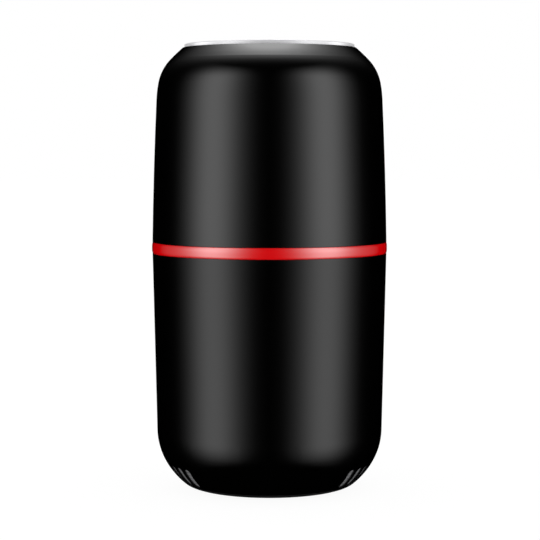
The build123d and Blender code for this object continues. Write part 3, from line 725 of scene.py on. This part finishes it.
@dataclass
class LightTent:
    """Round tent whose glow is seen only in reflections; it turns with the camera."""

    radius: float = 1.2
    centre_z: float = 0.09
    subdivisions: int = 5
    strips: StripLights = StripLights()
    top: TopLight = TopLight()
    back: BackPanel = BackPanel()

    def sums(self) -> tuple[tuple, ...]:
        """List the sums that turn a direction into the tent's glow, in order.

        Their terms are numbers, pairs of angles and names of earlier results. The direction's
        x, y and z, and the cosine of its angle from the top light, are there from the start.
        Angles are in degrees.

        Returns:
            Name of the result, sum and terms of each row; the last result is the whole glow.
        """
        strips, top, back = self.strips, self.top, self.back
        return (
            # The direction: azimuth from the camera's side, and elevation.
            ("side", Sum.ABSOLUTE, "x"),
            ("front", Sum.MULTIPLY, "y", -1.0),
            ("turn", Sum.ARCTAN2, "side", "front"),
            ("azimuth", Sum.DEGREES, "turn"),
            ("rise", Sum.ARCSINE, "z"),
            ("elevation", Sum.DEGREES, "rise"),
            # The strips: a bell across and a column up, weaker below eye level.
            ("apart", Sum.SUBTRACT, "azimuth", strips.azimuth),
            ("off", Sum.ABSOLUTE, "apart"),
            ("off_share", Sum.DIVIDE, "off", strips.spread),
            ("off_power", Sum.POWER, "off_share", strips.sharpness),
            ("off_fall", Sum.MULTIPLY, "off_power", -1.0),
            ("bell", Sum.EXPONENT, "off_fall"),
            ("strip_top", Sum.FADE, "elevation", strips.top_fade),
            ("strip_foot", Sum.FADE, "elevation", strips.foot_fade),
            ("column", Sum.MULTIPLY, "strip_top", "strip_foot"),
            ("below", Sum.FADE, "elevation", strips.lower_blend),
            ("drop", Sum.MULTIPLY_ADD, "below", strips.lower_share - 1.0, 1.0),
            ("strip_shape", Sum.MULTIPLY, "bell", "column"),
            ("strip_share", Sum.MULTIPLY, "strip_shape", "drop"),
            ("strip", Sum.MULTIPLY, "strip_share", strips.strength),
            # The top light: a disc with a bright core, its back edge flagged.
            ("top_angle", Sum.ARCCOSINE, "top_cosine"),
            ("reach", Sum.DEGREES, "top_angle"),
            ("near_part", Sum.DIVIDE, "reach", top.near_fade),
            ("far_share", Sum.DIVIDE, "reach", top.far_fade),
            ("far_part", Sum.POWER, "far_share", 2.0),
            ("both_parts", Sum.ADD, "near_part", "far_part"),
            ("fall", Sum.MULTIPLY, "both_parts", -1.0),
            ("disc_share", Sum.EXPONENT, "fall"),
            ("disc_core", Sum.MULTIPLY, "disc_share", top.core),
            ("disc", Sum.MINIMUM, "disc_core", top.limit),
            ("flag_side", Sum.FADE, "azimuth", top.shade_azimuth),
            ("flag_height", Sum.FADE, "elevation", top.shade_height),
            ("flag", Sum.MULTIPLY, "flag_side", "flag_height"),
            ("unflagged", Sum.MULTIPLY_ADD, "flag", -top.shade, 1.0),
            ("top", Sum.MULTIPLY, "disc", "unflagged"),
            # The back panel.
            ("panel_side", Sum.FADE, "azimuth", back.azimuth_fade),
            ("panel_low", Sum.FADE, "elevation", back.low_fade),
            ("panel_high", Sum.FADE, "elevation", back.high_fade),
            ("panel_band", Sum.MULTIPLY, "panel_low", "panel_high"),
            ("panel_share", Sum.MULTIPLY, "panel_side", "panel_band"),
            ("panel", Sum.MULTIPLY, "panel_share", back.strength),
            # All three together.
            ("strip_and_top", Sum.ADD, "strip", "top"),
            ("glow", Sum.ADD, "strip_and_top", "panel"),
        )

    def glow(self) -> Material:
        """Build the tent's light from the direction of each point on it.

        Returns:
            The emission material.
        """
        material, tree, place = new_material("light_tent_cloth")
        way = add_node(tree, "ShaderNodeVectorMath", {"operation": "NORMALIZE"}, {0: place})
        axes = add_node(tree, "ShaderNodeSeparateXYZ", inputs={"Vector": way.outputs["Vector"]})
        lean = math.radians(self.top.lean)
        near = add_node(tree, "ShaderNodeVectorMath", {"operation": "DOT_PRODUCT"},
                        {0: way.outputs["Vector"], 1: (0, math.sin(lean), math.cos(lean))})
        results = {"x": axes.outputs["X"], "y": axes.outputs["Y"], "z": axes.outputs["Z"],
                   "top_cosine": near.outputs["Value"]}
        for name, kind, *terms in self.sums():
            terms = [results[term] if isinstance(term, str) else term for term in terms]
            if kind is Sum.FADE:
                value, (full, none) = terms
                node = add_node(tree, "ShaderNodeMapRange", {"interpolation_type": kind.value},
                                {"Value": value, "From Min": min(full, none),
                                 "From Max": max(full, none), "To Min": float(full < none),
                                 "To Max": float(full > none)})
            else:
                node = add_node(tree, "ShaderNodeMath", {"operation": kind.value},
                                dict(enumerate(terms)))
            results[name] = node.outputs[0]
        light = add_node(tree, "ShaderNodeEmission", inputs={"Strength": results["glow"]})
        add_node(tree, "ShaderNodeOutputMaterial", inputs={"Surface": light.outputs["Emission"]})
        return material

    def make(self, camera: Object) -> Object:
        """Build the tent and let it turn with the camera about the grinder's axis.

        Args:
            camera: Camera that the tent turns with.

        Returns:
            The tent.
        """
        deselect_all()
        bpy.ops.mesh.primitive_ico_sphere_add(
            subdivisions=self.subdivisions, radius=self.radius, location=(0, 0, self.centre_z))
        tent = bpy.context.object
        tent.name = "light_tent"
        tent.data.materials.append(self.glow())
        tent.visible_camera = False
        tent.visible_diffuse = False
        tent.visible_shadow = False
        tent.visible_transmission = False
        turn = tent.constraints.new("COPY_ROTATION")
        turn.target = camera
        turn.use_x = False
        turn.use_y = False
        return tent


@dataclass
class Studio:
    """White studio: camera, world, floor and the light tent."""

    lens_mm: float = 120.0
    sensor_mm: float = 36.0
    nearest: float = 0.01       # the camera sees nothing that is nearer
    camera_x: float = 0.0002
    camera_distance: float = 0.7006
    camera_height: float = 0.1336
    camera_pitch: float = 3.98  # degrees below level
    floor_size: float = 12.0
    floor_cells: int = 4
    floor_gap: float = 0.0002   # how far the floor lies under the feet
    paper: float = 0.07         # share of light that the floor's paper gives back
    paper_glow: float = 0.945   # its own glow, which keeps it even and almost white

    def make_camera(self) -> Object:
        """Build the camera and make it the scene's own.

        Returns:
            The camera.
        """
        data = bpy.data.cameras.new("camera")
        data.lens = self.lens_mm
        data.sensor_width = self.sensor_mm
        data.clip_start = self.nearest
        camera = bpy.data.objects.new("camera", data)
        bpy.context.scene.collection.objects.link(camera)
        camera.location = (self.camera_x, -self.camera_distance, self.camera_height)
        camera.rotation_euler = (math.radians(90 - self.camera_pitch), 0, 0)
        bpy.context.scene.camera = camera
        return camera

    def make_world(self) -> None:
        """Light everything evenly from all round, and leave reflections to the tent."""
        world = bpy.data.worlds.new("studio")
        bpy.context.scene.world = world
        world.use_nodes = True
        tree = world.node_tree
        tree.nodes.clear()
        white = add_node(tree, "ShaderNodeBackground",
                         inputs={"Color": (1, 1, 1, 1), "Strength": 1.0})
        add_node(tree, "ShaderNodeOutputWorld", inputs={"Surface": white.outputs["Background"]})
        world.cycles_visibility.glossy = False
        bpy.context.scene.view_settings.view_transform = "Standard"

    def make_floor(self) -> None:
        """Build the pale floor; seen from below it lets the underside show."""
        deselect_all()
        bpy.ops.mesh.primitive_grid_add(
            x_subdivisions=self.floor_cells, y_subdivisions=self.floor_cells,
            size=self.floor_size, location=(0, 0, -self.floor_gap))
        floor = bpy.context.object
        floor.name = "floor"
        floor.visible_glossy = False
        material, tree, _ = new_material("white_paper_floor")
        paper = add_node(tree, "ShaderNodeBsdfDiffuse",
                         inputs={"Color": (self.paper, self.paper, self.paper, 1)})
        glow = add_node(tree, "ShaderNodeEmission", inputs={"Strength": self.paper_glow})
        both = add_node(tree, "ShaderNodeAddShader",
                        inputs={0: paper.outputs[0], 1: glow.outputs[0]})
        side = add_node(tree, "ShaderNodeNewGeometry")
        clear = add_node(tree, "ShaderNodeBsdfTransparent")
        mix = add_node(tree, "ShaderNodeMixShader",
                       inputs={0: side.outputs["Backfacing"], 1: both.outputs[0],
                               2: clear.outputs[0]})
        add_node(tree, "ShaderNodeOutputMaterial", inputs={"Surface": mix.outputs[0]})
        floor.data.materials.append(material)

    def make(self) -> Object:
        """Build the whole studio.

        Returns:
            The light tent.
        """
        camera = self.make_camera()
        self.make_world()
        self.make_floor()
        tent = LightTent().make(camera)
        LOG.info("studio ready")
        return tent


# ------------------------------------------------------------------------- grinder
@dataclass
class SubAssembly:
    """Pieces that come off the bench together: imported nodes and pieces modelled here."""

    frame: dict
    finishes: Finishes

    NODES = ()

    def build(self) -> None:
        """Model the sub-assembly's own pieces; some have none."""

    def dress(self) -> None:
        """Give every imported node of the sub-assembly the finish of its slot."""
        slots = {part["node"]: part["material_slot"] for part in self.frame["record"]["subparts"]}
        for name in self.NODES:
            self.finishes.paint(self.frame["nodes"][name], Slot(slots[name]))
            LOG.info("dressed %s as %s", name, slots[name])

    def fit(self, piece: Object, body: Body, slot: Slot, node: str) -> None:
        """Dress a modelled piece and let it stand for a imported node.

        Args:
            piece: Finished piece.
            body: Body that it rides on.
            slot: Its finish.
            node: Node that it stands for.
        """
        self.finishes.paint(piece, slot)
        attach(piece, body.value)
        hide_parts(node)

    def load_spring(self, piece: Object, joint: str, low: float, high: float) -> None:
        """Give a spring a mesh of its own.

        Args:
            piece: The spring.
            joint: Sliding joint that presses it; not used.
            low: Height of its foot; not used.
            high: Height of its top; not used.
        """
        centre = sum((Vector(corner) for corner in piece.bound_box), Vector())
        centre /= len(piece.bound_box)
        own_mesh(piece)


@dataclass
class MotorBase(SubAssembly):
    """Casing of the base with its vents, feet, cord inlet and red trim ring."""

    ring_inner_r: float = 44.45 * MM
    ring_lip_r: float = 43.0 * MM
    ring_lip_drop: float = 3.1 * MM     # the lip on the bowl housing, down from the ring's top
    ring_crown: float = 0.34 * MM       # how far the band falls back at its edges
    crown_power: int = 4                # the higher, the nearer its edges it starts to fall
    crown_steps: int = 16
    ring_segments: int = 256

    NODES = ("base_shell", "vent_screen_right", "vent_screen_left", "bottom_cover",
             "bottom_screws", "rubber_feet", "trim_ring", "cord_grommet")
    RING = "red_trim_ring"

    def build(self) -> None:
        """Model the trim ring as a crowned band with soft edges."""
        low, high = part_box("trim_ring")
        middle, half = (low.z + high.z) / 2, (high.z - low.z) / 2
        rings = [(self.ring_inner_r, low.z)]
        for step in range(self.crown_steps + 1):
            share = -math.cos(math.pi * step / self.crown_steps)
            fall = self.ring_crown * share ** self.crown_power
            rings.append((high.x - fall, middle + half * share))
        lip_z = high.z - self.ring_lip_drop
        rings += [(self.ring_lip_r, high.z), (self.ring_lip_r, lip_z), (self.ring_inner_r, lip_z),
                  (self.ring_inner_r, low.z)]
        ring = turn_rings(self.RING, rings, self.ring_segments)
        finish_editing(ring)
        self.fit(ring, Body.BASE, Slot.RED_TRIM, "trim_ring")


@dataclass
class Motor(SubAssembly):
    """Universal motor with its brackets, brushes, commutator and fan."""

    NODES = ("motor_dampers", "motor_mount_screws", "upper_bracket", "lower_bracket",
             "upper_bearing", "lower_bearing", "stator_core", "field_coil_right",
             "field_coil_left", "motor_screws", "brush_holder_right", "brush_holder_left",
             "carbon_brush_right", "carbon_brush_left", "brush_spring_right",
             "brush_spring_left", "motor_shaft", "armature_core", "armature_winding",
             "commutator", "cooling_fan")


@dataclass
class GrindingChamber(SubAssembly):
    """Steel bowl in its housing, with the blade on the motor's shaft."""

    blade_sheet: float = 1.5 * MM
    root_half: float = 6.5 * MM
    bend_r: float = 12.0 * MM
    bend: float = math.atan(5 / 16)     # how far the wings are bent up
    wing_mm: tuple[tuple[float, float, float], ...] = (     # out, trailing edge, leading edge
        (4, -5.3, 6.8), (8, -3.4, 6.95), (12, -2.0, 6.95), (15, -1.5, 6.7),
        (19, -1.35, 5.6), (23, -1.25, 4.0), (27.6, -1.2, 1.6))
    ground_width: float = 2.6 * MM      # width of the ground face along the leading edge
    ground_edge: float = 0.25 * MM      # sheet left at the cutting edge
    ground_from: int = 2                # point of the outline that the ground face starts at
    smooth_degrees: float = 14.0        # low enough to keep the edges of the ground faces crisp

    NODES = ("bowl_housing", "grinding_bowl", "bowl_clamp_bush", "shaft_seal",
             "bowl_clamp_nut", "blade_hub", "grinding_blade", "blade_nut")

    def flat(self, reach: float) -> float:
        """Distance from the axis, before bending, of a point that ends up at a reach."""
        return reach + max(0.0, reach - self.bend_r) * (1 / math.cos(self.bend) - 1)

    def model_wing(self, foot_z: float) -> Object:
        """Draw one flat wing out from the axis, grind its leading edge and bend it up.

        Args:
            foot_z: Height of the blade's underside at the hub.

        Returns:
            The wing, whose root lies on the axis.
        """
        middle_z = foot_z + self.blade_sheet / 2
        deselect_all()
        bpy.ops.mesh.primitive_plane_add(size=1.0, location=(0, 0, middle_z),
                                         rotation=(0, math.radians(90), 0))
        wing = start_editing("blade_wing")
        bpy.ops.transform.resize(value=(1, 2 * self.root_half, self.blade_sheet),
                                 center_override=(0, 0, middle_z))
        reach, centre, width = 0.0, 0.0, 2 * self.root_half
        for out_mm, low_mm, high_mm in self.wing_mm:
            next_reach, next_width = self.flat(out_mm * MM), (high_mm - low_mm) * MM
            next_centre = (low_mm + high_mm) / 2 * MM
            bpy.ops.mesh.extrude_region_move(TRANSFORM_OT_translate={
                "value": (next_reach - reach, next_centre - centre, 0)})
            bpy.ops.transform.resize(value=(1, next_width / width, 1),
                                     center_override=(next_reach, next_centre, middle_z))
            reach, centre, width = next_reach, next_centre, next_width
        self.grind(foot_z)
        bpy.ops.mesh.select_all(action="SELECT")
        bpy.ops.mesh.bisect(plane_co=(self.bend_r, 0, 0), plane_no=(1, 0, 0),
                            threshold=CUT_TOLERANCE)
        select_vertices(wing, lambda place: place.x > self.bend_r + PICK_REACH)
        bpy.ops.transform.rotate(value=self.bend, orient_axis="Y",
                                 center_override=(self.bend_r, 0, foot_z))
        return wing

    def grind(self, foot_z: float) -> None:
        """Cut the ground face off the top of the flat wing's leading edge, out to the tip.

        Args:
            foot_z: Height of the blade's underside at the hub.
        """
        edge = [Vector((self.flat(out_mm * MM), lead_mm * MM, foot_z + self.ground_edge))
                for out_mm, _, lead_mm in (self.wing_mm[self.ground_from], self.wing_mm[-1])]
        inwards = Vector((0, -self.ground_width, self.blade_sheet - self.ground_edge))
        normal = (edge[1] - edge[0]).cross(inwards).normalized()
        if normal.z < 0:
            normal.negate()
        bpy.ops.mesh.select_all(action="SELECT")
        bpy.ops.mesh.bisect(plane_co=edge[0], plane_no=normal, use_fill=True, clear_outer=True,
                            threshold=CUT_TOLERANCE)

    def build(self) -> None:
        """Model the blade from two ground wings."""
        low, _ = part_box("grinding_blade")
        wing = self.model_wing(low.z)
        finish_editing(wing)
        other = copy_piece(wing, "other_wing", Vector())
        other.data.transform(Matrix.Rotation(math.pi, 4, "Z"))
        for half in (wing, other):
            half.select_set(True)
        bpy.context.view_layer.objects.active = wing
        bpy.ops.object.join()
        blade = start_editing("ground_blade")
        select_vertices(blade, lambda place: abs(place.x) < CUT_TOLERANCE)
        bpy.ops.mesh.delete(type="ONLY_FACE")
        finish_editing(blade, self.smooth_degrees)
        self.fit(blade, Body.ROTOR, Slot.BLADE_STEEL, "grinding_blade")


@dataclass
class SafetySwitch(SubAssembly):
    """Switch behind the motor that runs only with the lid on and the button down."""

    spring: CompressionSpring = CompressionSpring(wire_r=0.3 * MM, coil_r=2.4 * MM, turns=6)

    NODES = ("switch_bracket", "bracket_screws", "microswitch", "switch_terminals",
             "switch_screws", "lever_pin", "switch_plunger", "switch_lever", "switch_button",
             "plunger_spring")

    def build(self) -> None:
        """Wind the spring that lifts the plunger."""
        low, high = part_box("plunger_spring")
        centre = (low + high) / 2
        spring = self.spring.model("plunger_return_spring", centre.x, centre.y, low.z, high.z)
        self.fit(spring, Body.BASE, Slot.SCREW_STEEL, "plunger_spring")
        self.load_spring(spring, "plunger_slide", low.z, high.z)


@dataclass
class Lid(SubAssembly):
    """Lift-off lid: gloss shell, clear chamber cover and the plate under the button."""

    NODES = ("lid_shell", "lid_liner", "lid_seal", "button_base", "lid_screws")


@dataclass
class PushButton(SubAssembly):
    """Silver cap on its carrier, with three return springs and the push rod."""

    edge_r: float = 0.3 * MM
    edge_steps: int = 6
    wall: float = 0.7 * MM
    ledge: float = 0.8 * MM             # step that the carrier's edge sits in
    dish_r: float = 27.0 * MM
    dish_depth: float = 0.15 * MM
    dish_steps: int = 8
    segments: int = 256
    spring: CompressionSpring = CompressionSpring(wire_r=0.35 * MM, coil_r=2.7 * MM, turns=7)

    NODES = ("button_cap", "button_carrier", "push_rod", "button_spring_left",
             "button_spring_right", "button_spring_back")
    SIDES = ("left", "right", "back")
    CAP = "dished_button_cap"

    def cap_rings(self, radius: float, foot_z: float, top_z: float) -> list[tuple[float, float]]:
        """Rings of the cap, from its underside round the skirt's foot to the top's middle.

        Args:
            radius: Outer radius.
            foot_z: Height of the skirt's foot.
            top_z: Height of the top.

        Returns:
            Radius and height of each ring.
        """
        under_z, inner_r = top_z - self.wall, radius - self.wall
        rings = [(inner_r - self.ledge, under_z), (inner_r - self.ledge, under_z - self.ledge),
                 (inner_r, under_z - self.ledge), (inner_r, foot_z), (radius, foot_z)]
        for step in range(self.edge_steps + 1):
            turn = math.radians(90 * step / self.edge_steps)
            rings.append((radius - self.edge_r * (1 - math.cos(turn)),
                          top_z - self.edge_r * (1 - math.sin(turn))))
        for step in range(self.dish_steps):
            share = step / self.dish_steps
            depth = self.dish_depth * (1 - math.cos(math.pi * share)) / 2
            rings.append((self.dish_r * (1 - share), top_z - depth))
        return rings + [(0, top_z - self.dish_depth)]

    def build(self) -> None:
        """Turn the dished cap and wind the three springs."""
        low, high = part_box("button_cap")
        rings = self.cap_rings(high.x, low.z, high.z)
        cap = turn_rings(self.CAP, rings, self.segments)
        select_vertices(cap, lambda place: abs(place.z - rings[0][1]) < PICK_REACH)
        bpy.ops.mesh.edge_face_add()
        bpy.ops.mesh.inset(thickness=rings[0][0] / 2, depth=0)
        bpy.ops.mesh.poke()
        finish_editing(cap)
        self.fit(cap, Body.BUTTON, Slot.SILVER_CAP, "button_cap")
        first = None
        for side in self.SIDES:
            low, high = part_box(f"button_spring_{side}")
            centre = (low + high) / 2
            name = f"button_return_spring_{side}"
            if first is None:
                spring = self.spring.model(name, centre.x, centre.y, low.z, high.z)
                first, first_centre = spring, centre
            else:
                spring = copy_piece(first, name, centre - first_centre)
            self.fit(spring, Body.LID, Slot.SCREW_STEEL, f"button_spring_{side}")
            self.load_spring(spring, "button_press", low.z, high.z)


SUB_ASSEMBLIES = (MotorBase, Motor, GrindingChamber, SafetySwitch, Lid, PushButton)
FLAGGED_LAMPS = {
    PushButton.CAP: FlaggedLamps(azimuth=101.0, height=0.168, width=0.6, tall=0.6, power=3.4),
    MotorBase.RING: FlaggedLamps(azimuth=92.0, height=0.1, width=1.4, tall=0.8, power=0.15,
                                 grid=84.0, distance=0.7),
}


def main() -> None:
    """Build the looks of the grinder around its frame."""
    logging.basicConfig(level=logging.INFO, format="%(message)s")
    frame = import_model()
    deselect_all()
    tent = Studio().make()
    finishes = Finishes()
    for kind in SUB_ASSEMBLIES:
        part = kind(frame, finishes)
        part.build()
        part.dress()
        LOG.info("%s is ready", kind.__name__)
    for name, lamps in FLAGGED_LAMPS.items():
        lamps.make(tent, bpy.data.objects[name])


if __name__ == "__main__":
    main()
